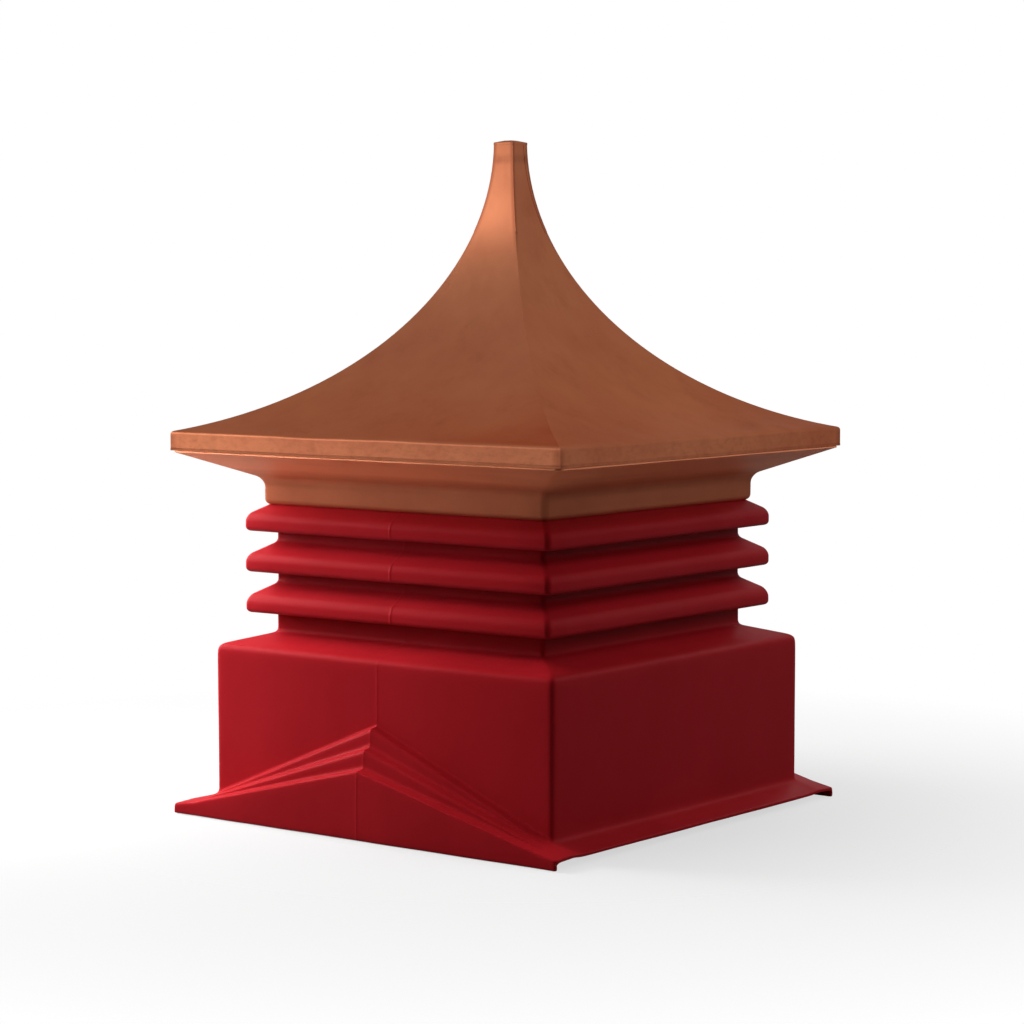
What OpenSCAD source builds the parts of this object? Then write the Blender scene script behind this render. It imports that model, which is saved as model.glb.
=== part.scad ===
// Square roof cupola: a moulded base box that straddles a roof's ridge, three moulded louvre folds
// above it, and a flared roof of folded sheet copper on a moulded soffit.
// Millimetres. +Z is up. The gable sides face -Y and +Y and the eave sides -X and +X.
// The origin is on the ground, under the middle.

/* [Base box] */
// Outside width of the box, the same both ways
box_w = 457; // [420:1:550]
// Height at which the box wall would meet the sloping shoulder, before the edge is rounded
box_top_z = 184.5; // [150:0.5:230]
// Radius that rounds the edge between the wall and the shoulder
shoulder_r = 12; // [6:0.5:16]
// Height that the shoulder gains between the box wall and the neck
shoulder_rise = 13.5; // [4:0.5:30]
// Outside radius of the box's four upright corners
box_corner_r = 7; // [3:0.5:12]
// Thickness of the moulded plastic skin
skin = 4.5; // [3:0.25:6]

/* [Pitch steps and flanges] */
// Height at which the lowest pitch line meets the upright corner of the box
meet_z = 17.5; // [15:0.5:30]
// Height at which that line ends, at the outer edge of the flanges
rim_z = 11; // [6:0.5:14]
// Rise in twelve of the upper pitch line; the middle and lower lines rise one and two less
upper_pitch = 5; // [4:0.5:8]
// How far each of the three ledges stands out beyond the one above it
ledge = 11; // [8:0.5:16]
// How far each ledge falls towards its outer edge
ledge_fall = 1.5; // [0:0.25:3]
// How far the eave flanges stand out from the box
flange_out = 28.5; // [20:0.5:45]

/* [Louvres] */
// Outside width of the neck that the louvres fold out of
neck_w = 364; // [330:1:380]
// Outside width of the louvres
louvre_w = 411; // [395:1:440]
// Height of the lower louvre's underside above the foot of the neck
louvre_start = 21.5; // [10:0.5:40]
// Height from one louvre's underside to the next
louvre_pitch = 44.5; // [40:0.5:60]
// Height of a louvre where it meets the neck
louvre_h = 32.5; // [26:0.5:36]
// Height of a louvre's upright nose before its edges are rounded
nose_h = 17.2; // [14:0.2:20]
// Radius of the nose's upper edge
nose_r = 8; // [5:0.5:10]
// Radius of the nose's lower edge
drip_r = 4; // [1:0.5:5]
// Outside radius of the louvres' upright corners
louvre_corner_r = 8; // [4:0.5:14]

/* [Roof] */
// Outside width of the collar that stands on the upper louvre
collar_w = 379; // [376:1:384]
// Height of the collar and its bend, up to the line of the soffit
collar_h = 27.5; // [18:0.5:40]
// Width over the folded copper fascia
roof_w = 524; // [460:1:620]
// Height that the soffit gains between the collar and the fascia
soffit_rise = 29; // [10:0.5:50]
// Height of the folded fascia
fascia_h = 20.5; // [14:0.5:35]
// Radius of the fold between a roof panel and its fascia
fold_r = 4; // [2.5:0.5:6]
// Height from the fascia's fold to the top of the panels
flare_rise = 311; // [250:0.5:380]
// Lean of the panels at the narrow top, in degrees from upright
flare_lean = 0.7; // [0:0.1:8]
// Width of the roof at its narrow top
top_w = 25.4; // [24:0.2:40]
// Height that the folded top rises to its middle
crown = 2; // [0.5:0.5:6]
// Thickness of the copper sheet
copper = 1.5; // [1:0.1:2]
// Width of the lapped strip along each hip, measured across the diagonal
seam_w = 9; // [6:0.5:14]

/* [Hidden] */

plastic_red = [0.55, 0.08, 0.10];
sheet_copper = [0.66, 0.40, 0.27];
plastic_copper = [0.45, 0.25, 0.16];

// Turn about +Z that takes the +X side to each of the four sides
right = 0;
back = 90;
left = 180;
front = 270;

arc_steps = 5; // straight pieces in a rounded corner
flare_steps = 26; // straight pieces in the roof's flare
reach = 1000; // further out than anything in the cupola
seam_t = 0.8; // how far a hip's lapped strip stands proud of the panels
corner_step = 0.25; // height of each upright face between two ledges, from the corner of the box outwards
flange_set = 1; // how far a flange's top lies below the upper step where they meet at the box
seat_lip = 1; // how far the collar's seat reaches beyond the collar
collar_edge_r = 3; // radius of the collar's lower edge

box_half = box_w / 2;
neck_half = neck_w / 2;
louvre_half = louvre_w / 2;
collar_half = collar_w / 2;
roof_half = roof_w / 2;
top_half = top_w / 2;

wall_top_z = box_top_z - shoulder_r - 0.5;
neck_z = box_top_z + shoulder_rise;
louvre_z = [for (i = [0 : 2]) neck_z + louvre_start + i * louvre_pitch];
seat_z = louvre_z[2] + louvre_h - 1;
spigot_top_z = seat_z + 0.8 * collar_h;
soffit_z = seat_z + collar_h;
fascia_z = soffit_z + soffit_rise;
fold_z = fascia_z + fascia_h;
panel_top_z = fold_z + flare_rise;

// The flare is an arc that starts from the top at its lean and passes through the fold.
flare_chord = [roof_half - top_half, -flare_rise];
flare_out = [cos(flare_lean), sin(flare_lean)];
flare_r = flare_chord * flare_chord / (2 * flare_chord * flare_out);
flare_centre = [top_half, panel_top_z] + flare_r * flare_out;
top_angle = 180 + flare_lean;
fold_angle = 360 + atan2(fold_z - flare_centre[1], roof_half - flare_centre[0]);

// ---- outlines: a path is a list of [out, up, radius], and a radius of 0 leaves a corner sharp ----

function unit(v) = v / norm(v);
function point(p) = [p[0], p[1]];
function turned_left(v) = [-v[1], v[0]];
function reversed(list) = [for (i = [len(list) - 1 : -1 : 0]) list[i]];

function corner_arc(before, corner, after) =
    let (
        u = unit(point(before) - point(corner)),
        w = unit(point(after) - point(corner)),
        half = acos(u * w) / 2,
        tangent = corner[2] / tan(half),
        centre = point(corner) + unit(u + w) * corner[2] / sin(half),
        first = point(corner) + u * tangent - centre,
        last = point(corner) + w * tangent - centre,
        start = atan2(first[1], first[0]),
        sweep = (atan2(last[1], last[0]) - start + 540) % 360 - 180
    )
    [for (i = [0 : arc_steps]) centre + corner[2] * [cos(start + sweep * i / arc_steps), sin(start + sweep * i / arc_steps)]];

function rounded(path) = [
    for (i = [0 : len(path) - 1])
        each (i == 0 || i == len(path) - 1 || path[i][2] == 0)
            ? [point(path[i])]
            : corner_arc(path[i - 1], path[i], path[i + 1])
];

// The path moved to its own left by t, with each radius changed to suit
function moved_left(path, t) = [
    for (i = [0 : len(path) - 1])
        let (
            p = path[i],
            d0 = i > 0 ? unit(point(p) - point(path[i - 1])) : unit(point(path[1]) - point(p)),
            d1 = i < len(path) - 1 ? unit(point(path[i + 1]) - point(p)) : d0,
            bisector = unit(turned_left(d0) + turned_left(d1)),
            moved = point(p) + bisector * t / (bisector * turned_left(d0)),
            r = p[2] == 0 ? 0 : max(0, p[2] - sign(cross(d0, d1)) * t)
        )
        [moved[0], moved[1], r]
];

function skin_outline(path, t) = concat(rounded(path), reversed(rounded(moved_left(path, t))));
function band_outline(half, z0, z1) = [[half - skin, z0], [half, z0], [half, z1], [half - skin, z1]];
function square_outline(half, r) =
    let (c = [[half, half, r], [-half, half, r], [-half, -half, r], [half, -half, r]])
    [for (i = [0 : 3]) each corner_arc(c[(i + 3) % 4], c[i], c[(i + 1) % 4])];

// ---- solids that go round the square plan ----

// What lies between the two hips of one side
module side_sector(turn) {
    rotate(turn)
        linear_extrude(height = 2 * reach, center = true)
            polygon([[0, 0], [reach, -reach], [reach, reach]]);
}

// One side of a square ring, with the outline's out direction facing that side, mitred at both ends
module side(outline, turn) {
    intersection() {
        rotate(turn)
            rotate([90, 0, 0])
                linear_extrude(height = 2 * reach, center = true) polygon(outline);
        side_sector(turn);
    }
}

module upright_block(half, r) {
    linear_extrude(height = 2 * reach, center = true) polygon(square_outline(half, r));
}

// A whole ring, with its upright outer corners rounded
module ring(outline, half, r) {
    intersection() {
        union() for (turn = [right, back, left, front]) side(outline, turn);
        upright_block(half, r);
    }
}

// ---- base box ----

// Heights at a distance x from the middle of the gable. Steps are 0, 1 and 2 from the wall outwards:
// each has an inner line where it meets what is above it, with a kink at the corner of the box.
flange_half = box_half + flange_out;
function step_gain(i) = (2 - i) * (ledge_fall + corner_step);
function step_pitch(i) = (upper_pitch - i) / 12;
function step_z(i, x) =
    step_gain(i) + meet_z + (x < box_half ? step_pitch(i) * (box_half - x) : (rim_z - meet_z) * (x - box_half) / flange_out);

flange_z = step_z(0, box_half) - flange_set;

// Clears everything below step i's inner line, from out0 to out1 in front of the middle
module below_step(i, out0, out1) {
    line = [for (x = [-flange_half, -box_half, 0, box_half, flange_half]) [x, step_z(i, abs(x))]];
    translate([0, -out0, 0])
        rotate([90, 0, 0])
            linear_extrude(height = out1 - out0)
                polygon(concat([[-flange_half, -reach]], line, [[flange_half, -reach]]));
}

// A section carried along the slope from [x0, z0] to [x1, z1], with its ends upright.
// The section is a list of [out, up from the slope].
module sloping_run(section, x0, z0, x1, z1) {
    slope = atan2(z1 - z0, x1 - x0);
    intersection() {
        translate([x0, 0, z0])
            rotate([0, -slope, 0])
                rotate([90, 0, 90])
                    linear_extrude(height = 2 * reach, center = true)
                        polygon([for (p = section) [-p[0], p[1] * cos(slope)]]);
        translate([x0, -reach, -reach]) cube([x1 - x0, 2 * reach, 2 * reach]);
    }
}

module box_wall(turn) {
    color(plastic_red)
        difference() {
            intersection() {
                side(band_outline(box_half, flange_z, wall_top_z), turn);
                upright_block(box_half, box_corner_r);
            }
            for (gable = [front, back]) rotate(gable - front) below_step(0, box_half - skin, reach);
        }
}

module flange(turn) {
    path = [[box_half - skin, flange_z, 0], [box_half, flange_z, 0], [flange_half, rim_z, 0]];
    color(plastic_red)
        rotate(turn)
            rotate([90, 0, 0])
                linear_extrude(height = 2 * (box_half - skin), center = true) polygon(skin_outline(path, -skin));
}

// A section carried along step i's inner line, across the whole gable
module gable_run(i, section) {
    for (way = [0, 1])
        mirror([way, 0, 0]) {
            sloping_run(section, 0, step_z(i, 0), box_half, step_z(i, box_half));
            sloping_run(section, box_half, step_z(i, box_half), flange_half, step_z(i, flange_half));
        }
}

// A ledge and the upright face that hangs from its outer edge. The skirt is the last of them.
module step(i, turn) {
    inner = box_half + i * ledge;
    outer = inner + ledge;
    bend = [outer - skin, -ledge_fall * (ledge - skin) / ledge];
    shelf = [[inner - skin, 0], [inner, 0], bend, bend - [0, skin], [inner - skin, -skin]];
    face = [bend, [outer, -ledge_fall], [outer, -reach], [bend[0], -reach]];
    color(plastic_red)
        rotate(turn - front)
            union() {
                gable_run(i, shelf);
                difference() {
                    gable_run(i, face);
                    if (i < 2) below_step(i + 1, inner, reach);
                    translate([-reach, -reach, -2 * reach]) cube(2 * reach);
                }
            }
}

module shoulder() {
    path = [
        [box_half, wall_top_z, 0],
        [box_half, box_top_z, shoulder_r],
        [neck_half, neck_z, 0],
        [neck_half - skin, neck_z, 0]
    ];
    color(plastic_red) ring(skin_outline(path, skin), box_half, box_corner_r);
}

// ---- louvres ----

module neck_band(z0, z1) {
    color(plastic_red) ring(band_outline(neck_half, z0, z1), neck_half, box_corner_r);
}

module louvre(i) {
    z = louvre_z[i];
    topmost = i == 2;
    crest = topmost ? [collar_half + seat_lip, seat_z, 0] : [neck_half, z + louvre_h, 0];
    slope = (louvre_h - nose_h) / (louvre_half - neck_half);
    path = [
        [neck_half - skin, z, 0],
        [louvre_half, z, drip_r],
        [louvre_half, crest[1] - slope * (louvre_half - crest[0]), nose_r],
        crest,
        [neck_half - skin, crest[1], 0]
    ];
    color(plastic_red) ring(skin_outline(path, skin), louvre_half, louvre_corner_r);
}

// ---- roof ----

bend_z = seat_z + collar_h / 2; // where the collar ends and the soffit's own bend starts

module collar() {
    path = [
        [collar_half - skin, bend_z, 0],
        [collar_half - skin, seat_z, 0],
        [collar_half, seat_z, collar_edge_r],
        [collar_half, bend_z, 0]
    ];
    color(plastic_copper) ring(rounded(path), collar_half, louvre_corner_r);
}

// The soffit turns out of the collar and ends in a lip that lies against the inside of the fascia.
module soffit() {
    lip_half = roof_half - copper;
    path = [
        [collar_half, bend_z, 0],
        [collar_half, soffit_z, skin],
        [lip_half, fascia_z, 0],
        [lip_half, fascia_z + fascia_h / 2, 0]
    ];
    color(plastic_copper)
        union() for (turn = [right, back, left, front]) side(skin_outline(path, skin), turn);
}

// Outer line of a roof panel: up the fascia, over the fold and up the flare
flare_path = concat(
    [[roof_half, fascia_z, 0], [roof_half, fold_z, fold_r]],
    [
        for (i = [1 : flare_steps])
            let (a = fold_angle + (top_angle - fold_angle) * i / flare_steps)
            [flare_centre[0] + flare_r * cos(a), flare_centre[1] + flare_r * sin(a), 0]
    ]
);

module roof_panel(turn) {
    color(sheet_copper) side(skin_outline(flare_path, copper), turn);
}

// A strip folded over the hip between the side at turn and the side before it
module hip_seam(turn) {
    strip = skin_outline(moved_left(flare_path, -seam_t), seam_t);
    color(sheet_copper)
        intersection() {
            union() {
                side(strip, turn);
                side(strip, turn - 90);
            }
            rotate(turn - 45) translate([0, -seam_w / 2, 0]) cube([reach, seam_w, reach]);
        }
}

// The panels' ends are folded over one another into a low crown that closes the top.
module top_fold() {
    half = top_half + seam_t;
    crest_z = panel_top_z + copper + crown;
    outline = [[0, panel_top_z], [half, panel_top_z], [half, panel_top_z + copper], [0, crest_z]];
    color(sheet_copper) union() for (turn = [right, back, left, front]) side(outline, turn);
}

// ---- the assembly ----

box_wall(front);  // wall_front
box_wall(back);  // wall_back
box_wall(left);  // wall_left
box_wall(right);  // wall_right
flange(left);  // flange_left
flange(right);  // flange_right
step(0, front);  // step_upper_front
step(1, front);  // step_middle_front
step(2, front);  // skirt_front
step(0, back);  // step_upper_back
step(1, back);  // step_middle_back
step(2, back);  // skirt_back
shoulder();
neck_band(neck_z, louvre_z[0]);  // neck_lower
louvre(0);  // louvre_lower
neck_band(louvre_z[0] + louvre_h, louvre_z[1]);  // neck_middle
louvre(1);  // louvre_middle
neck_band(louvre_z[1] + louvre_h, louvre_z[2]);  // neck_upper
louvre(2);  // louvre_upper
neck_band(seat_z, spigot_top_z);  // roof_spigot
collar();
soffit();
roof_panel(front);  // roof_front
roof_panel(back);  // roof_back
roof_panel(left);  // roof_left
roof_panel(right);  // roof_right
hip_seam(front);  // hip_seam_front_left
hip_seam(right);  // hip_seam_front_right
hip_seam(left);  // hip_seam_back_left
hip_seam(back);  // hip_seam_back_right
top_fold();
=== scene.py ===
import math
from collections import namedtuple

import bmesh
import bpy
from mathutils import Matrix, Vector


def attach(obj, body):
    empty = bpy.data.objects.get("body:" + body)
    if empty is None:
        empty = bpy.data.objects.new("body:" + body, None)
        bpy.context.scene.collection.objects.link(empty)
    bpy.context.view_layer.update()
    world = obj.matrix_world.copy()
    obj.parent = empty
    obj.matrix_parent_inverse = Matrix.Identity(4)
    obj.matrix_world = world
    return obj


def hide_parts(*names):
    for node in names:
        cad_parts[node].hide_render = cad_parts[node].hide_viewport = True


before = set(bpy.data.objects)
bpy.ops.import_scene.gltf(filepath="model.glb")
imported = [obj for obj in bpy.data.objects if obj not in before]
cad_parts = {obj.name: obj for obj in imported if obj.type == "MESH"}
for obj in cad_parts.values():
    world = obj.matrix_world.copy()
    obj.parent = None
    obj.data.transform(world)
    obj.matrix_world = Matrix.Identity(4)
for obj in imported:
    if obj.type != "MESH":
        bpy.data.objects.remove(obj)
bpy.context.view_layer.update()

mm = 0.001  # sizes are in millimetres from here on, and the scene is in metres
closeBy = 0.06  # how far a corner may lie from where it is looked for


# Helpers for working in edit mode.

def deselectAll():
    bpy.ops.object.select_all(action="DESELECT")


def activate(piece):
    deselectAll()
    piece.select_set(True)
    bpy.context.view_layer.objects.active = piece


def startPlane(name, half, z):  # a square plane at its height, left open in edit mode
    deselectAll()
    bpy.ops.mesh.primitive_plane_add(size=2 * half * mm, location=(0, 0, z * mm))
    piece = bpy.context.object
    piece.name = piece.data.name = name
    bpy.ops.object.transform_apply(location=True, rotation=False, scale=False)
    bpy.ops.object.mode_set(mode="EDIT")
    return piece


def startPoint(name, place):  # a plane merged to one corner and carried to its place
    piece = startPlane(name, 1, 0)
    bpy.ops.mesh.select_mode(type="VERT")
    bpy.ops.mesh.select_all(action="SELECT")
    bpy.ops.mesh.merge(type="CENTER")
    bpy.ops.transform.translate(value=Vector(place) * mm)
    return piece


def startPick(kind):
    bpy.ops.mesh.select_mode(type=kind)
    bpy.ops.mesh.select_all(action="DESELECT")
    return bmesh.from_edit_mesh(bpy.context.edit_object.data)


def endPick():
    bmesh.update_edit_mesh(bpy.context.edit_object.data, loop_triangles=False)


def pick(kind, test):  # selects the corners or edges that lie wholly where the test says
    shape = startPick(kind)
    for part in shape.verts if kind == "VERT" else shape.edges:
        corners = [part] if kind == "VERT" else part.verts
        if all(test(corner.co / mm) for corner in corners):
            part.select_set(True)
    shape.select_flush_mode()
    endPick()


def pickEdges(test):  # selects edges by a test of their two ends
    shape = startPick("EDGE")
    for edge in shape.edges:
        a, b = (corner.co / mm for corner in edge.verts)
        if test(a, b):
            edge.select_set(True)
    endPick()


def near(a, b, slack=closeBy):
    return abs(a - b) < slack


def move(x=0, y=0, z=0):
    bpy.ops.transform.translate(value=(x * mm, y * mm, z * mm))


def drag(old, new):  # extrudes the chain through the old corners and carries each to its new place
    nudge = Vector((0.3, 0.2, 0.1))  # holds the new corners off the old ones until each is carried
    pairs = list(zip(old, old[1:]))

    def inChain(a, b):
        gaps = (min((a - p).length + (b - q).length, (a - q).length + (b - p).length) for p, q in pairs)
        return any(gap < closeBy for gap in gaps)

    pickEdges(inChain)
    bpy.ops.mesh.extrude_edges_move(TRANSFORM_OT_translate={"value": nudge * mm})
    for p, q in zip(old, new):
        pick("VERT", lambda c: (c - p - nudge).length < closeBy / 2)
        bpy.ops.transform.translate(value=(q - p - nudge) * mm)


def dragAll(columns):
    for old, new in zip(columns, columns[1:]):
        drag(old, new)


def extrudePoint(x=0, y=0, z=0):
    bpy.ops.mesh.extrude_vertices_move(TRANSFORM_OT_translate={"value": (x * mm, y * mm, z * mm)})


def mergeAll(slack):
    bpy.ops.mesh.select_all(action="SELECT")
    bpy.ops.mesh.remove_doubles(threshold=slack * mm)


def modify(piece, kind, **settings):
    activate(piece)
    bpy.ops.object.modifier_add(type=kind)
    modifier = piece.modifiers[-1]
    for name, value in settings.items():
        setattr(modifier, name, value)
    bpy.ops.object.modifier_apply(modifier=modifier.name)


def closeUp(piece, slack=0.02):  # merges doubles, turns the faces outwards and leaves edit mode
    bpy.ops.object.mode_set(mode="EDIT")
    mergeAll(slack)
    bpy.ops.mesh.normals_make_consistent(inside=False)
    bpy.ops.object.mode_set(mode="OBJECT")


def wave(piece, strength, size):  # the slight unevenness of a moulding
    cloud = bpy.data.textures.new(piece.name + "Wave", "CLOUDS")
    cloud.noise_scale = size * mm
    cloud.noise_depth = 1
    modify(piece, "DISPLACE", texture=cloud, strength=strength * mm, mid_level=0.5)


def thicken(piece, skin, offset=-1):
    modify(piece, "SOLIDIFY", thickness=skin * mm, offset=offset, use_even_offset=True)


def complete(piece, nodes, finish, angle):  # edges that bend by less than the angle are smooth
    activate(piece)
    bpy.ops.object.shade_smooth_by_angle(angle=math.radians(angle))
    piece.data.materials.clear()
    piece.data.materials.append(finish)
    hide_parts(*nodes)
    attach(piece, "root")
    print(piece.name, len(piece.data.polygons), "faces")


# Camera and lights. An azimuth turns from the front gable towards the right side.

cameraSet = {
    "azimuth": 37.5, "elevation": 4.48, "distance": 3.1218, "aim": (0.0013, 0.001, 0.3258),
    "lens": 99.8, "sensor": 36,
}
lightSet = {  # the sheen is what the copper mirrors, and the others light what is matt
    "key": {
        "azimuth": -68, "elevation": 15, "distance": 0.98, "size": (0.7, 0.6), "power": 27.5, "glossy": False,
    },
    "fill": {
        "azimuth": 122, "elevation": 31, "distance": 2.0, "size": (1.4, 1.4), "power": 15.5, "glossy": False,
    },
    "top": {
        "azimuth": -38, "elevation": 62, "distance": 1.8, "size": (1.2, 1.2), "power": 8.5, "glossy": False,
    },
    "rear": {
        "azimuth": 177, "elevation": 24, "distance": 2.0, "size": (1.4, 1.2), "power": 11.0, "glossy": False,
    },
    "sheen": {
        "azimuth": -55, "elevation": 19, "distance": 2.0, "size": (1.0, 1.15), "power": 6.4, "glossy": True,
    },
}
lightAim = Vector((0, 0, 0.35))


def outwards(place):  # the way from the middle to a camera or light
    azimuth, elevation = math.radians(place["azimuth"]), math.radians(place["elevation"])
    level = math.cos(elevation)
    return Vector((math.sin(azimuth) * level, -math.cos(azimuth) * level, math.sin(elevation)))


def placeCamera():
    back = outwards(cameraSet)
    bpy.ops.object.camera_add(location=Vector(cameraSet["aim"]) + back * cameraSet["distance"])
    camera = bpy.context.object
    camera.name = "studioCamera"
    camera.rotation_euler = back.to_track_quat("Z", "Y").to_euler()
    camera.data.lens = cameraSet["lens"]
    camera.data.sensor_width = cameraSet["sensor"]
    bpy.context.scene.camera = camera


def placeLights():
    for name, s in lightSet.items():
        back = outwards(s)
        bpy.ops.object.light_add(type="AREA", location=lightAim + back * s["distance"])
        light = bpy.context.object
        light.name = name + "Light"
        light.rotation_euler = back.to_track_quat("Z", "Y").to_euler()
        light.data.shape = "RECTANGLE"
        light.data.size, light.data.size_y = s["size"]
        light.data.energy = s["power"]
        light.visible_camera = False
        light.visible_glossy = s["glossy"]
        light.visible_diffuse = not s["glossy"]


# Finishes.

class Signal:  # a socket that takes part in sums
    def __init__(self, net, socket):
        self.net, self.socket = net, socket

    def sum(self, operation, first, second):
        return self.net.add("ShaderNodeMath", {"operation": operation}, {0: first, 1: second})

    def __add__(self, other):
        return self.sum("ADD", self, other)

    def __radd__(self, other):
        return self.sum("ADD", other, self)

    def __sub__(self, other):
        return self.sum("SUBTRACT", self, other)

    def __rsub__(self, other):
        return self.sum("SUBTRACT", other, self)

    def __mul__(self, other):
        return self.sum("MULTIPLY", self, other)

    def __rmul__(self, other):
        return self.sum("MULTIPLY", other, self)

    def __abs__(self):
        return self.sum("ABSOLUTE", self, 0)


class NodeNet:  # makes and joins the nodes of one tree
    def __init__(self, tree):
        self.tree = tree

    def add(self, kind, settings, inputs, output=0):
        node = self.tree.nodes.new(kind)
        for name, value in settings.items():
            setattr(node, name, value)
        for socket, value in inputs.items():
            self.feed(node.inputs[socket], value)
        return Signal(self, node.outputs[output]) if node.outputs else None

    def feed(self, socket, value):
        if isinstance(value, Signal):
            self.tree.links.new(value.socket, socket)
        else:
            socket.default_value = value


class Finish(NodeNet):  # one material and the nodes it is made of
    def __init__(self, name, **constants):
        self.material = bpy.data.materials.new(name)
        self.material.use_nodes = True
        super().__init__(self.material.node_tree)
        self.shader = self.tree.nodes["Principled BSDF"]
        for socket, value in constants.items():
            self.shader.inputs[socket.replace("_", " ")].default_value = value
        self.place = self.add("ShaderNodeTexCoord", {}, {}, "Object")

    def coordinate(self, axis):
        return self.add("ShaderNodeSeparateXYZ", {}, {"Vector": self.place}, axis)

    def noise(self, scale, detail=3, roughness=0.5, stretch=(1, 1, 1), shift=(0, 0, 0)):
        inputs = {"Vector": self.place, "Scale": stretch, "Location": shift}
        place = self.add("ShaderNodeMapping", {}, inputs)
        inputs = {"Vector": place, "Scale": scale, "Detail": detail, "Roughness": roughness}
        return self.add("ShaderNodeTexNoise", {}, inputs, "Fac")

    def range(self, value, low, high, toLow=0.0, toHigh=1.0):
        inputs = {"Value": value, "From Min": low, "From Max": high, "To Min": toLow, "To Max": toHigh}
        return self.add("ShaderNodeMapRange", {}, inputs)

    def blend(self, share, first, second):
        return self.add("ShaderNodeMix", {"data_type": "RGBA"}, {0: share, 6: first, 7: second}, 2)

    def bump(self, height, strength, distance, under=None):
        inputs = {"Height": height, "Strength": strength, "Distance": distance * mm}
        if under:
            inputs["Normal"] = under
        return self.add("ShaderNodeBump", {}, inputs)

    def paint(self, **signals):
        for socket, value in signals.items():
            self.feed(self.shader.inputs[socket.replace("_", " ")], value)
        return self.material


redSet = {
    "deep": (0.24, 0.007, 0.0105, 1), "plain": (0.35, 0.0095, 0.0145, 1), "fresh": (0.39, 0.0115, 0.0175, 1),
    "glint": (1.0, 0.1, 0.1, 1), "gloss": 0.11, "rough": 0.4,
}


def mouldedRed():
    s = redSet
    f = Finish("mouldedRedPlastic", Specular_Tint=s["glint"], Specular_IOR_Level=s["gloss"])
    cloudy = f.noise(7, 4, 0.55)
    flow = f.noise(14, 3, 0.6, stretch=(1, 1, 0.22), shift=(0.3, 0.1, 0))
    speck = f.noise(260, 2, 0.6)
    colour = f.blend(f.range(cloudy, 0.35, 0.7), s["plain"], s["fresh"])
    colour = f.blend(f.range(flow, 0.42, 0.78, 0, 0.22), colour, s["deep"])
    colour = f.blend(f.range(speck, 0.62, 0.8, 0, 0.25), colour, s["deep"])
    rough = s["rough"] + cloudy * 0.08 + f.range(flow, 0.35, 0.75, -0.03, 0.05)
    peel = f.bump(f.noise(620, 3, 0.55), 0.1, 0.25)
    ripple = f.bump(f.noise(34, 2, 0.5), 0.12, 1.4, peel)
    return f.paint(Base_Color=colour, Roughness=rough, Normal=ripple)


copperMouldSet = {
    # The soffit's lighter colour is painted light, standing in for light thrown up from below.
    "paintedUplight": (0.95, 0.32, 0.15, 1), "plain": (0.62, 0.18, 0.085, 1), "dark": (0.47, 0.132, 0.062, 1),
    "glint": (1.0, 0.62, 0.45, 1), "gloss": 0.4, "rough": 0.42, "metal": 0.5,
    "turn": (0.364, 0.378),  # heights in metres where the collar turns into the soffit
}


def mouldedCopper():
    s = copperMouldSet
    f = Finish("copperColouredMoulding", Specular_Tint=s["glint"], Specular_IOR_Level=s["gloss"])
    cloudy = f.noise(9, 4, 0.55)
    streak = f.noise(16, 4, 0.6, stretch=(0.25, 0.25, 6))
    soffit = f.range(f.coordinate("Z"), *s["turn"])  # 0 on the collar, 1 on the soffit
    colour = f.blend(f.range(cloudy, 0.3, 0.75), s["plain"], s["dark"])
    # painted light: the soffit is coloured lighter than the collar
    colour = f.blend(soffit, colour, s["paintedUplight"])
    colour = f.blend(f.range(streak, 0.5, 0.8, 0, 0.3), colour, s["dark"])
    rough = s["rough"] + cloudy * 0.1 + streak * 0.06
    grain = f.bump(f.noise(500, 2, 0.5), 0.08, 0.2)
    rolled = f.bump(streak, 0.08, 0.4, grain)
    return f.paint(Base_Color=colour, Roughness=rough, Normal=rolled, Metallic=s["metal"] - soffit * 0.4)


copperSet = {  # the last two lines have heights in metres
    "bright": (0.8, 0.286, 0.14, 1), "plain": (0.68, 0.208, 0.103, 1), "aged": (0.42, 0.117, 0.058, 1),
    "glint": (0.95, 0.62, 0.5, 1), "rough": 0.23,
    "lapped": (0.6, 0.645), "flat": (0.41, 0.52), "smudge": 0.711,
    "fascia": (0.413, 0.4165), "bends": (0.411, 0.417),
}


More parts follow.
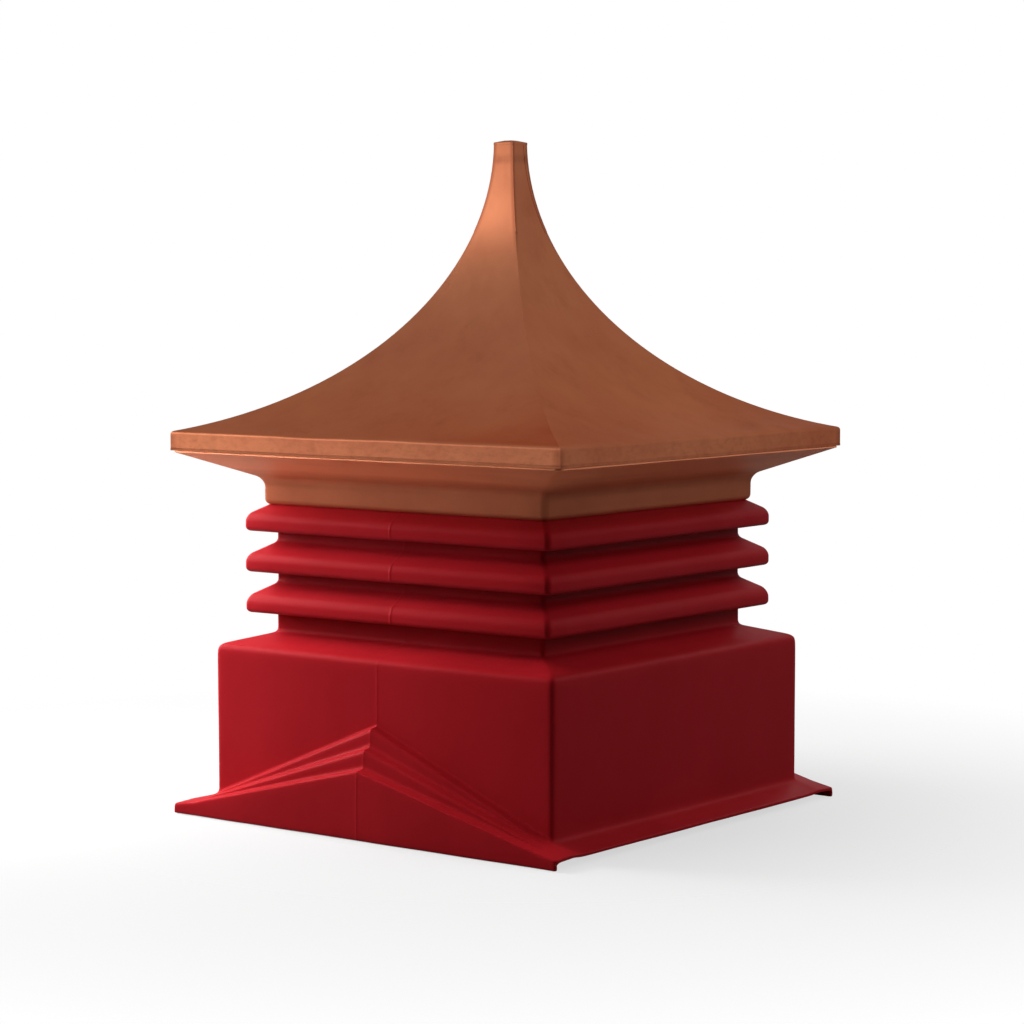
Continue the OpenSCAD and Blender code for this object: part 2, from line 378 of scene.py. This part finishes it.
def sheetCopper():
    s = copperSet
    f = Finish("rolledSheetCopper", Metallic=1.0, Specular_Tint=s["glint"])
    cloudy = f.noise(6, 5, 0.58)
    stain = f.noise(19, 6, 0.66, stretch=(1, 1, 0.5), shift=(0.2, 0.7, 0.1))
    run = f.noise(30, 4, 0.6, stretch=(1, 1, 0.1))
    scratch = f.noise(90, 3, 0.6, stretch=(1, 1, 0.04), shift=(0.5, 0.2, 0.9))
    handled = f.noise(95, 5, 0.66, stretch=(1, 1, 1.8))
    height = f.coordinate("Z")
    fromHip = abs(abs(f.coordinate("X")) - abs(f.coordinate("Y"))) + stain * 0.003 - 0.0015
    # painted shade: a darker band along the upper hips, beside the laps
    paintedLapShade = f.range(fromHip, 0.0012, 0.005, 1, 0) * f.range(height, *s["lapped"])
    # painted shade: darker on both sides of each roof corner, down on the fascia
    corner = f.range(fromHip, 0.003, 0.011, 1, 0) * f.range(height, *s["bends"], 1, 0)
    smudge = f.range(stain, 0.44, 0.6) * f.range(abs(height - s["smudge"]), 0.002, 0.007, 1, 0)
    mottle = f.range(handled, 0.45, 0.7, 0, 0.34) * f.range(height, *s["fascia"], 1, 0)
    colour = f.blend(f.range(cloudy, 0.32, 0.68), s["plain"], s["bright"])
    ageing = [f.range(stain, 0.56, 0.78, 0, 0.28), f.range(run, 0.52, 0.85, 0, 0.18)]
    for share in ageing + [mottle, paintedLapShade * 0.75, corner * 0.6, smudge * 0.55]:
        colour = f.blend(share, colour, s["aged"])
    rough = s["rough"] + cloudy * 0.1 + f.range(stain, 0.45, 0.75, 0, 0.1)
    rough = rough + f.range(scratch, 0.55, 0.75, 0, 0.04)
    rough = rough + f.range(height, *s["flat"], 0.1, 0)  # duller where the flare runs out flat
    fine = f.bump(scratch, 0.025, 0.12)
    hammer = f.bump(f.noise(22, 2, 0.5), 0.12, 1.2, fine)
    return f.paint(Base_Color=colour, Roughness=rough, Normal=hammer)


# World and floor. Both look white, and throw only a little light on the cupola.

worldSet = {"seen": 1.0, "mirrored": 0.36, "matt": 0.04}
floorSet = {
    "radius": 3.5, "seenAt": -0.4, "bounceAt": -1.0, "shade": 0.24, "glow": 0.56,
    "fadeFrom": 0.28, "fadeTo": 1.0, "cover": 0.85,
}


def paintWorld():
    world = bpy.data.worlds.new("studioWorld")
    bpy.context.scene.world = world
    world.use_nodes = True
    world.node_tree.nodes.clear()
    net = NodeNet(world.node_tree)
    seen, mirrored, matt = (net.add("ShaderNodeBackground", {}, {"Color": (1, 1, 1, 1), "Strength": strength})
                            for strength in worldSet.values())
    glossyRay = net.add("ShaderNodeLightPath", {}, {}, "Is Glossy Ray")
    cameraRay = net.add("ShaderNodeLightPath", {}, {}, "Is Camera Ray")
    lit = net.add("ShaderNodeMixShader", {}, {0: glossyRay, 1: matt, 2: mirrored})
    whole = net.add("ShaderNodeMixShader", {}, {0: cameraRay, 1: lit, 2: seen})
    net.add("ShaderNodeOutputWorld", {}, {"Surface": whole})


def layFloor():  # one floor that is only seen, and one that throws light back and takes no part in the view
    s = floorSet
    for name, z in (("paleFloor", s["seenAt"]), ("floorBounce", s["bounceAt"])):
        deselectAll()
        bpy.ops.mesh.primitive_circle_add(vertices=96, radius=s["radius"], fill_type="NGON",
                                          location=(0, 0, z * mm))
        floor = bpy.context.object
        floor.name = name
        bpy.ops.object.transform_apply(location=True)
        seen = name == "paleFloor"
        shade = (s["shade"], s["shade"], s["shade"], 1)
        f = Finish(name + "Paint", Roughness=0.9, Specular_IOR_Level=0.0, Base_Color=shade,
                   Emission_Color=(1, 1, 1, 1), Emission_Strength=s["glow"] if seen else 0.0)
        if seen:
            away = f.add("ShaderNodeVectorMath", {"operation": "LENGTH"}, {0: f.place}, "Value")
            f.paint(Alpha=f.range(away, s["fadeFrom"], s["fadeTo"], s["cover"], 0.0))
        floor.data.materials.append(f.material)
        floor.visible_camera = seen
        floor.visible_diffuse = floor.visible_glossy = floor.visible_shadow = not seen


placeCamera()
placeLights()
paintWorld()
layFloor()
bpy.context.scene.view_settings.view_transform = "Standard"
redFinish, copperMouldFinish, copperFinish = mouldedRed(), mouldedCopper(), sheetCopper()
print("studio and finishes ready")


# The base moulding: box, shoulder, pitch steps, skirts and side flanges. A quarter of it is dragged out
# column by column, from the middle of the front round to the middle of the side, and then mirrored.

Ring = namedtuple("Ring", "out middle corner end")  # its distance out, and its heights at three places

baseSet = {
    "wall": 228.5, "boxTop": 184.5, "neck": 182, "neckFoot": 198, "neckRing": 205, "neckCut": 219.5,
    "shoulderRings": (189, 204, 218),
    "wallRings": ((173.5, 173.5), (152, 128), (133, 70), (122, 28)),  # heights at the middle and at the corner
    "ledge": 11, "ledgeFall": 1.5,  # each pitch step stands out by a ledge
    "apexes": (116.2, 95.4, 74.6), "corners": (21, 19.4, 17.8), "ends": (12.4, 11.9, 11.4, 10.8),
    "lastLedge": {"out": 7, "fall": 0.9, "end": 11.1},
    "skirt": 262.4, "skirtRings": ((66, 13, 8.2), (5, 4, 3), (0, 0, 0)),
    "frontColumns": (0, 0.0055, 0.02, 0.17, 0.35, 0.53, 0.7, 0.86, 0.965, 1),
    "sideColumns": (1, 0.965, 0.86, 0.7, 0.53, 0.35, 0.17, 0),
    "flangeColumns": (0, 0.22, 0.86, 1), "flangeTop": 20, "rim": 10.9,
    "reach": 260.5, "flangeRight": 257, "flangeLeft": 262.5,
    "lipSteps": ((262, 1), (260, 0.75), (-1, 0.32)),  # the lip's share of the drop beyond each distance out
    "skin": 4.5, "ridge": 0.3, "softEdge": 0.34, "waveHeight": 1.0, "waveLength": 110, "smoothTo": 60,
}


def baseRings():
    b = baseSet
    wall = b["wall"]
    slope = (b["neckFoot"] - b["boxTop"]) / (wall - b["neck"])
    heights = (b["neckCut"], b["neckCut"] - 1, b["neckRing"], b["neckFoot"])
    rings = [Ring(b["neck"], z, z, None) for z in heights]
    for out in b["shoulderRings"] + (wall,):
        z = b["boxTop"] + slope * (wall - out)
        rings.append(Ring(out, z, z, None))
    rings += [Ring(wall, middle, corner, None) for middle, corner in b["wallRings"]]
    for i, (apex, corner) in enumerate(zip(b["apexes"], b["corners"])):
        out = wall + b["ledge"] * i
        rings.append(Ring(out, apex, corner, b["ends"][i]))
        if i == len(b["apexes"]) - 1:
            last = b["lastLedge"]
            rings.append(Ring(out + last["out"], apex - last["fall"], corner - last["fall"], last["end"]))
        rings.append(Ring(out + b["ledge"], apex - b["ledgeFall"], corner - b["ledgeFall"], b["ends"][i + 1]))
    return rings + [Ring(b["skirt"], *heights) for heights in b["skirtRings"]]


def frontColumn(rings, share):
    return [Vector((share * min(r.out, baseSet["wall"]), -r.out, r.middle + (r.corner - r.middle) * share))
            for r in rings]


def endColumn(rings, share):  # past the wall's corner, over the end of the flange
    wall, out = baseSet["wall"], baseSet["reach"] - baseSet["wall"]
    return [Vector((wall + out * share, -r.out, r.corner + (r.end - r.corner) * share)) for r in rings]


def sideColumn(upper, foot, share):
    wall, flangeTop = baseSet["wall"], baseSet["flangeTop"]
    column = [Vector((min(r.out, wall), -share * min(r.out, wall), r.corner)) for r in upper]
    return column + [Vector((wall, -share * wall, flangeTop + share * (foot.corner - flangeTop)))]


def flangeColumn(foot, share):
    b = baseSet
    wall, out = b["wall"], b["reach"] - b["wall"]
    column = []
    for s in b["flangeColumns"]:
        level = b["flangeTop"] + (b["rim"] - b["flangeTop"]) * s
        corner = foot.corner + (foot.end - foot.corner) * s
        lift = share if s == 0 else float(share == 1)
        column.append(Vector((wall + out * s, -share * wall, level + (corner - level) * lift)))
    return column


def dropLip(chain, levels):  # turns the rim of the flange down, fully at the skirt and less along the side
    b = baseSet
    last = chain
    for level in levels:
        drop = []
        for p in chain:
            share = next(part for out, part in b["lipSteps"] if -p.y > out)
            drop.append(p - Vector((0, 0, (b["ends"][-1] - level) * share)))
        drag(last, drop)
        last = drop


def onStepEdge(p):
    b = baseSet
    slack = b["ridge"] + 0.4  # the parting line stands out by its ridge
    for i, (apex, corner) in enumerate(zip(b["apexes"], b["corners"])):
        inner = b["wall"] + b["ledge"] * i
        level = apex + (corner - apex) * p.x / b["wall"]
        if near(p.y, -inner, slack) and near(p.z, level):
            return True
        if near(p.y, -inner - b["ledge"], slack) and near(p.z, level - b["ledgeFall"]):
            return True
    return False


def mouldBase():
    b = baseSet
    wall = b["wall"]
    rings = baseRings()
    upper = [r for r in rings if r.end is None]
    lower = [r for r in rings if r.end is not None]
    foot = lower[0]

    front = [frontColumn(rings, share) for share in b["frontColumns"]]
    piece = startPoint("baseMoulding", front[0][0])
    for a, c in zip(front[0], front[0][1:]):
        extrudePoint(*(c - a))
    dragAll(front)
    dragAll([sideColumn(upper, foot, share) for share in b["sideColumns"]])
    ends = [endColumn(lower, share) for share in b["flangeColumns"]]
    dragAll(ends)
    flange = [flangeColumn(foot, share) for share in b["sideColumns"]]
    dragAll(flange)
    mergeAll(0.05)

    rimHeight = b["ends"][-1] - 0.3
    rim = [column[-1] for column in reversed(flange)] + [p for p in ends[-1][1:] if p.z > rimHeight]
    rim = [p for i, p in enumerate(rim) if i == 0 or (p - rim[i - 1]).length > closeBy]
    dropLip(rim, [r.end for r in lower if r.end < rimHeight])
    mergeAll(0.08)

    pick("VERT", lambda p: near(p.x, 0) and p.y < -100)  # the mould's parting line
    move(y=-b["ridge"])

    def alongStep(p, q):  # not the short edges that run across a ledge
        return max(p.x, q.x) < wall + 0.1 and not near(p.x, q.x, 0.1) and onStepEdge(p) and onStepEdge(q)

    pickEdges(alongStep)
    bpy.ops.transform.edge_crease(value=b["softEdge"])
    bpy.ops.object.mode_set(mode="OBJECT")
    modify(piece, "MIRROR", use_axis=(True, True, False), merge_threshold=0.05 * mm)
    bpy.ops.object.mode_set(mode="EDIT")
    for side, reach in ((1, b["flangeRight"]), (-1, b["flangeLeft"])):  # one flange is a little narrower
        pick("VERT", lambda p: p.x * side > wall + 0.5)
        ratio = (reach - wall) / (b["reach"] - wall)
        bpy.ops.transform.resize(value=(ratio, 1, 1), center_override=(side * wall * mm, 0, 0))
    closeUp(piece)
    thicken(piece, b["skin"])
    modify(piece, "SUBSURF", levels=2, render_levels=2)
    wave(piece, b["waveHeight"], b["waveLength"])
    nodes = ["wall_front", "wall_back", "wall_left", "wall_right"]
    nodes += ["flange_left", "flange_right", "shoulder", "neck_lower"]
    nodes += [f"{part}_{side}" for part in ("step_upper", "step_middle", "skirt") for side in ("front", "back")]
    complete(piece, nodes, redFinish, b["smoothTo"])


mouldBase()


# The louvre tiers, each with the stretch of neck above it. A loop is climbed from the drip edge up.

louvreSet = {
    "neck": 182, "lap": 1, "nose": 207, "cornerRound": 5.5, "cuts": 11, "height": 32.5, "noseHeight": 17.2,
    "skin": 4.5, "dripRound": 5, "topFillet": 4, "ridge": 0.32, "waveHeight": 1.0, "waveLength": 90,
    "smoothTo": 50,
    "partingCuts": (-6, -2.6, -1.3, -0.5, 0.5, 1.3, 2.6, 6),  # the parting line and what keeps it narrow
    "tiers": {
        "louvreLower": {"base": 219.5, "high": 264, "nodes": ("louvre_lower", "neck_middle"), "noseRound": 8.2},
        "louvreMiddle": {"base": 264, "high": 308.5, "nodes": ("louvre_middle", "neck_upper"), "noseRound": 7},
        "louvreUpper": {"base": 308.5, "high": 362, "nodes": ("louvre_upper", "roof_spigot"), "noseRound": 7},
    },
}


def roundedLoop(name, half, z, cornerRound, cuts):  # an open square of edges with round corners
    piece = startPlane(name, half, z)
    bpy.ops.mesh.select_all(action="SELECT")
    bpy.ops.mesh.bevel(affect="VERTICES", offset=cornerRound * mm, segments=6)
    bpy.ops.mesh.select_all(action="SELECT")
    bpy.ops.mesh.delete(type="ONLY_FACE")
    pickEdges(lambda a, b: (a - b).length > half)
    bpy.ops.mesh.subdivide(number_cuts=cuts)
    bpy.ops.mesh.select_all(action="SELECT")
    return piece


def climb(path):  # extrudes the loop through each half width and height
    for (half, z), (nextHalf, nextZ) in zip(path, path[1:]):
        bpy.ops.mesh.extrude_edges_move(TRANSFORM_OT_translate={"value": (0, 0, (nextZ - z) * mm)})
        ratio = nextHalf / half
        bpy.ops.transform.resize(value=(ratio, ratio, 1), center_override=(0, 0, nextZ * mm))


def roundLoop(half, z, size, segments):
    pick("EDGE", lambda p: near(p.z, z) and half * 0.985 < max(abs(p.x), abs(p.y)) < half + 0.1)
    bpy.ops.mesh.bevel(affect="EDGES", offset=size * mm, segments=segments)


def raiseParting():  # on the two gable sides
    s = louvreSet
    for x in s["partingCuts"]:
        bpy.ops.mesh.select_all(action="SELECT")
        bpy.ops.mesh.bisect(plane_co=(x * mm, 0, 0), plane_no=(1, 0, 0))
    for side in (-1, 1):
        pick("VERT", lambda p: abs(p.x) < 0.7 and p.y * side > s["neck"] - 12)
        move(y=side * s["ridge"])


def mouldLouvre(name, tier):
    s = louvreSet
    base, top = tier["base"], tier["base"] + s["height"]
    shoulder = base + s["noseHeight"]
    start = s["neck"] - s["lap"]  # laps just inside the neck below
    piece = roundedLoop(name, start, base, s["cornerRound"], s["cuts"])
    nose, neck = s["nose"], s["neck"]
    climb([(start, base), (nose, base), (nose, shoulder), (neck, top), (neck, tier["high"])])
    roundLoop(nose, base, s["dripRound"], 6)
    roundLoop(nose, shoulder, tier["noseRound"], 7)
    roundLoop(neck, top, s["topFillet"], 4)
    raiseParting()
    closeUp(piece)
    wave(piece, s["waveHeight"], s["waveLength"])
    thicken(piece, s["skin"])
    complete(piece, tier["nodes"], redFinish, s["smoothTo"])


for tierName, tierSet in louvreSet["tiers"].items():
    mouldLouvre(tierName, tierSet)


# The collar round the upper louvre, and the soffit that spreads from it to the fascia.

soffitSet = {
    "inner": 184, "collar": 189.5, "seat": 340, "bend": 367.5, "edge": 260.7, "edgeZ": 397.4, "skin": 3,
    "cornerRound": 5, "cuts": 11, "seatRound": 3.4, "bendRound": 11, "waveHeight": 0.8, "waveLength": 80,
    "smoothTo": 50,
}


def mouldSoffit():
    s = soffitSet
    piece = roundedLoop("soffitPan", s["inner"], s["seat"], s["cornerRound"], s["cuts"])
    collar, seat, bend = s["collar"], s["seat"], s["bend"]
    climb([(s["inner"], seat), (collar, seat), (collar, bend), (s["edge"], s["edgeZ"])])
    roundLoop(collar, seat, s["seatRound"], 5)
    roundLoop(collar, bend, s["bendRound"], 7)
    closeUp(piece)
    wave(piece, s["waveHeight"], s["waveLength"])
    thicken(piece, s["skin"])
    complete(piece, ["collar", "soffit"], copperMouldFinish, s["smoothTo"])


mouldSoffit()


# The copper roof: one panel is bent, then copied round and dented differently on each side.

roofSet = {
    "half": 262, "topHalf": 12.7, "topZ": 728.6, "flareTop": 728, "centreOut": 336.3, "centreZ": 731.95,
    "blank": 300,  # half the sheet's width before its mitres are cut
    "foldZ": 417, "fold": 2.8, "hemTop": 398.7, "hemZ": 396.5, "hemProud": 0.12, "hemStep": 0.5,
    "turnIn": 1, "turnUp": 3, "sheet": 1.5, "arcSteps": 44, "columns": 23, "smoothTo": 35,
    "dents": {  # along, height, pushed in, lifted, how far it spreads
        "Front": ((-40, 505, 1.1, 0, 46), (70, 455, 1.6, 0, 62), (-130, 440, -1.1, 0.5, 60),
                  (140, 425, 1.0, -0.9, 55), (-60, 417, 0.3, -0.6, 60), (40, 417, 0.1, 0.45, 48)),
        "Right": ((-120, 432, 2.2, -0.8, 68), (-30, 447, -1.6, 0.6, 58), (70, 436, 1.4, -0.5, 62),
                  (150, 423, -0.6, 0.7, 52), (-150, 417, 0.5, -0.9, 60), (20, 417, 0.4, -0.7, 46),
                  (5, 520, 1.0, 0, 44)),
        "Back": ((60, 440, 1.8, -0.6, 66), (-90, 450, -1.3, 0.3, 60), (-10, 530, 1.0, 0, 40),
                 (120, 417, 0.4, -0.7, 60)),
        "Left": ((-80, 436, 1.5, -0.5, 66), (90, 452, -1.2, 0.3, 58), (0, 560, 0.8, 0, 34),
                 (-20, 417, 0.3, 0.5, 60)),
    },
}


def cutAway(place, normal, side, **settings):
    bpy.ops.mesh.select_all(action="SELECT")
    bpy.ops.mesh.bisect(plane_co=Vector(place) * mm, plane_no=normal, **{side: True}, **settings)


def bendPanel():  # the front panel, as a thin sheet: its flare is spun, then folded down to the hem
    r = roofSet
    piece = startPoint("roofPanel", (0, -r["topHalf"], r["topZ"]))
    extrudePoint(z=r["flareTop"] - r["topZ"])
    start = math.atan2(r["centreZ"] - r["flareTop"], r["centreOut"] - r["topHalf"])
    stop = math.atan2(r["centreZ"] - r["foldZ"], r["centreOut"] - r["half"])
    centre = (0, -r["centreOut"] * mm, r["centreZ"] * mm)
    bpy.ops.mesh.spin(steps=r["arcSteps"], angle=stop - start, center=centre, axis=(1, 0, 0))
    shape = bmesh.from_edit_mesh(piece.data)
    low = min(corner.co.z for corner in shape.verts) / mm
    far = min(corner.co.y for corner in shape.verts) / mm
    pick("VERT", lambda p: near(p.z, low))
    hemStart = r["hemTop"] + r["hemStep"]
    extrudePoint(z=hemStart - low)
    extrudePoint(y=-r["hemProud"], z=-r["hemStep"])
    extrudePoint(z=r["hemZ"] - r["hemTop"])
    extrudePoint(y=r["hemProud"] + r["turnIn"])
    extrudePoint(z=r["turnUp"])
    bpy.ops.mesh.select_all(action="SELECT")
    bpy.ops.mesh.extrude_edges_move(TRANSFORM_OT_translate={"value": (r["blank"] * mm, 0, 0)})
    cutAway((0, 0, 0), (1, 1, 0), "clear_outer")
    pickEdges(lambda a, b: near(a.z, b.z, 0.001) and near(a.y, b.y, 0.001))
    bpy.ops.mesh.subdivide(number_cuts=r["columns"])
    pick("EDGE", lambda p: near(p.z, low) and near(p.y, far))
    bpy.ops.mesh.bevel(affect="EDGES", offset=r["fold"] * mm, segments=4)
    bpy.ops.object.mode_set(mode="OBJECT")
    modify(piece, "MIRROR", use_axis=(True, False, False), merge_threshold=0.02 * mm)
    closeUp(piece)
    return piece


def dent(along, height, push, lift, spread):  # moves the sheet softly round one place
    shape = startPick("VERT")
    middle = min(shape.verts, key=lambda v: math.hypot(v.co.x / mm - along, v.co.z / mm - height))
    middle.select_set(True)
    endPick()
    bpy.ops.transform.translate(value=(0, push * mm, lift * mm), use_proportional_edit=True,
                                proportional_edit_falloff="SMOOTH", proportional_size=spread * mm)


def finishSheet(sheet, dents):  # dents the thin sheet, thickens it and cuts its mitres through the thickness
    activate(sheet)
    bpy.ops.object.mode_set(mode="EDIT")
    for place in dents:
        dent(*place)
    bpy.ops.object.mode_set(mode="OBJECT")
    thicken(sheet, roofSet["sheet"])
    bpy.ops.object.mode_set(mode="EDIT")
    for side in (1, -1):
        cutAway((0, 0, 0), (side, 1, 0), "clear_outer", use_fill=True, threshold=0.01 * mm)
    bpy.ops.object.mode_set(mode="OBJECT")


def turnPiece(piece, turn):
    activate(piece)
    piece.rotation_euler.z = math.radians(turn)
    bpy.ops.object.transform_apply(rotation=True)


def copyPiece(piece, name):
    activate(piece)
    bpy.ops.object.duplicate()
    copy = bpy.context.object
    copy.name = copy.data.name = name
    return copy


# The hips: the side panels lap over the gable ones from the top down, and the lap's lower end is cut askew.

hipSet = {"wide": 6.2, "narrow": 3.6, "low": 618, "askew": 0.5, "thick": 0.3}


def cutHipLap(panel):  # along the panel's left hip
    h = hipSet
    lap = copyPiece(panel, "hipLap")
    bpy.ops.object.mode_set(mode="EDIT")
    taper = (h["wide"] - h["narrow"]) / (roofSet["topZ"] - h["low"])
    cutAway((h["narrow"], 0, h["low"]), (1, -1, -taper), "clear_outer")
    cutAway((0, 0, h["low"]), (h["askew"], 0, 1), "clear_inner")
    bpy.ops.object.mode_set(mode="OBJECT")
    thicken(lap, h["thick"], offset=1)
    return lap


def mirrorPiece(piece, name):
    copy = copyPiece(piece, name)
    bpy.ops.object.mode_set(mode="EDIT")
    bpy.ops.mesh.select_all(action="SELECT")
    bpy.ops.transform.resize(value=(-1, 1, 1), center_override=(0, 0, 0))
    bpy.ops.mesh.normals_make_consistent(inside=False)
    bpy.ops.object.mode_set(mode="OBJECT")
    return copy


# The folded top, a shallow cap with a pinched crown.

topSet = {"half": 13.1, "rim": 729.1, "skirt": 2.6, "inset": 8.4, "crown": 2.2, "round": 0.45, "thick": 0.5}


def foldTop():
    t = topSet
    piece = startPlane("topFold", t["half"], t["rim"])
    bpy.ops.mesh.select_all(action="SELECT")
    bpy.ops.mesh.inset(thickness=t["inset"] * mm)
    move(z=t["crown"])
    pick("EDGE", lambda p: max(abs(p.x), abs(p.y)) > t["half"] - 0.1)
    bpy.ops.mesh.extrude_edges_move(TRANSFORM_OT_translate={"value": (0, 0, -t["skirt"] * mm)})
    pick("EDGE", lambda p: p.z > t["rim"] - 0.1)
    bpy.ops.mesh.bevel(affect="EDGES", offset=t["round"] * mm, segments=2)
    closeUp(piece, 0.01)
    thicken(piece, t["thick"])
    complete(piece, ["top_fold"], copperFinish, roofSet["smoothTo"])


panel = bendPanel()
leftLap = cutHipLap(panel)
rightLap = mirrorPiece(leftLap, "rightLap")
for side, turn in {"Front": 0, "Right": 90, "Back": 180, "Left": 270}.items():
    sheet = copyPiece(panel, "roof" + side)
    finishSheet(sheet, roofSet["dents"][side])
    turnPiece(sheet, turn)
    complete(sheet, ["roof_" + side.lower()], copperFinish, roofSet["smoothTo"])
hips = {
    "FrontRight": (leftLap, 90), "BackRight": (rightLap, 90),
    "BackLeft": (leftLap, 270), "FrontLeft": (rightLap, 270),
}
for corner, (lap, turn) in hips.items():
    strip = copyPiece(lap, "hipLap" + corner)
    turnPiece(strip, turn)
    node = corner.replace("Front", "front_").replace("Back", "back_").lower()
    complete(strip, ["hip_seam_" + node], copperFinish, roofSet["smoothTo"])
for spare in (panel, leftLap, rightLap):
    bpy.data.objects.remove(spare)
foldTop()
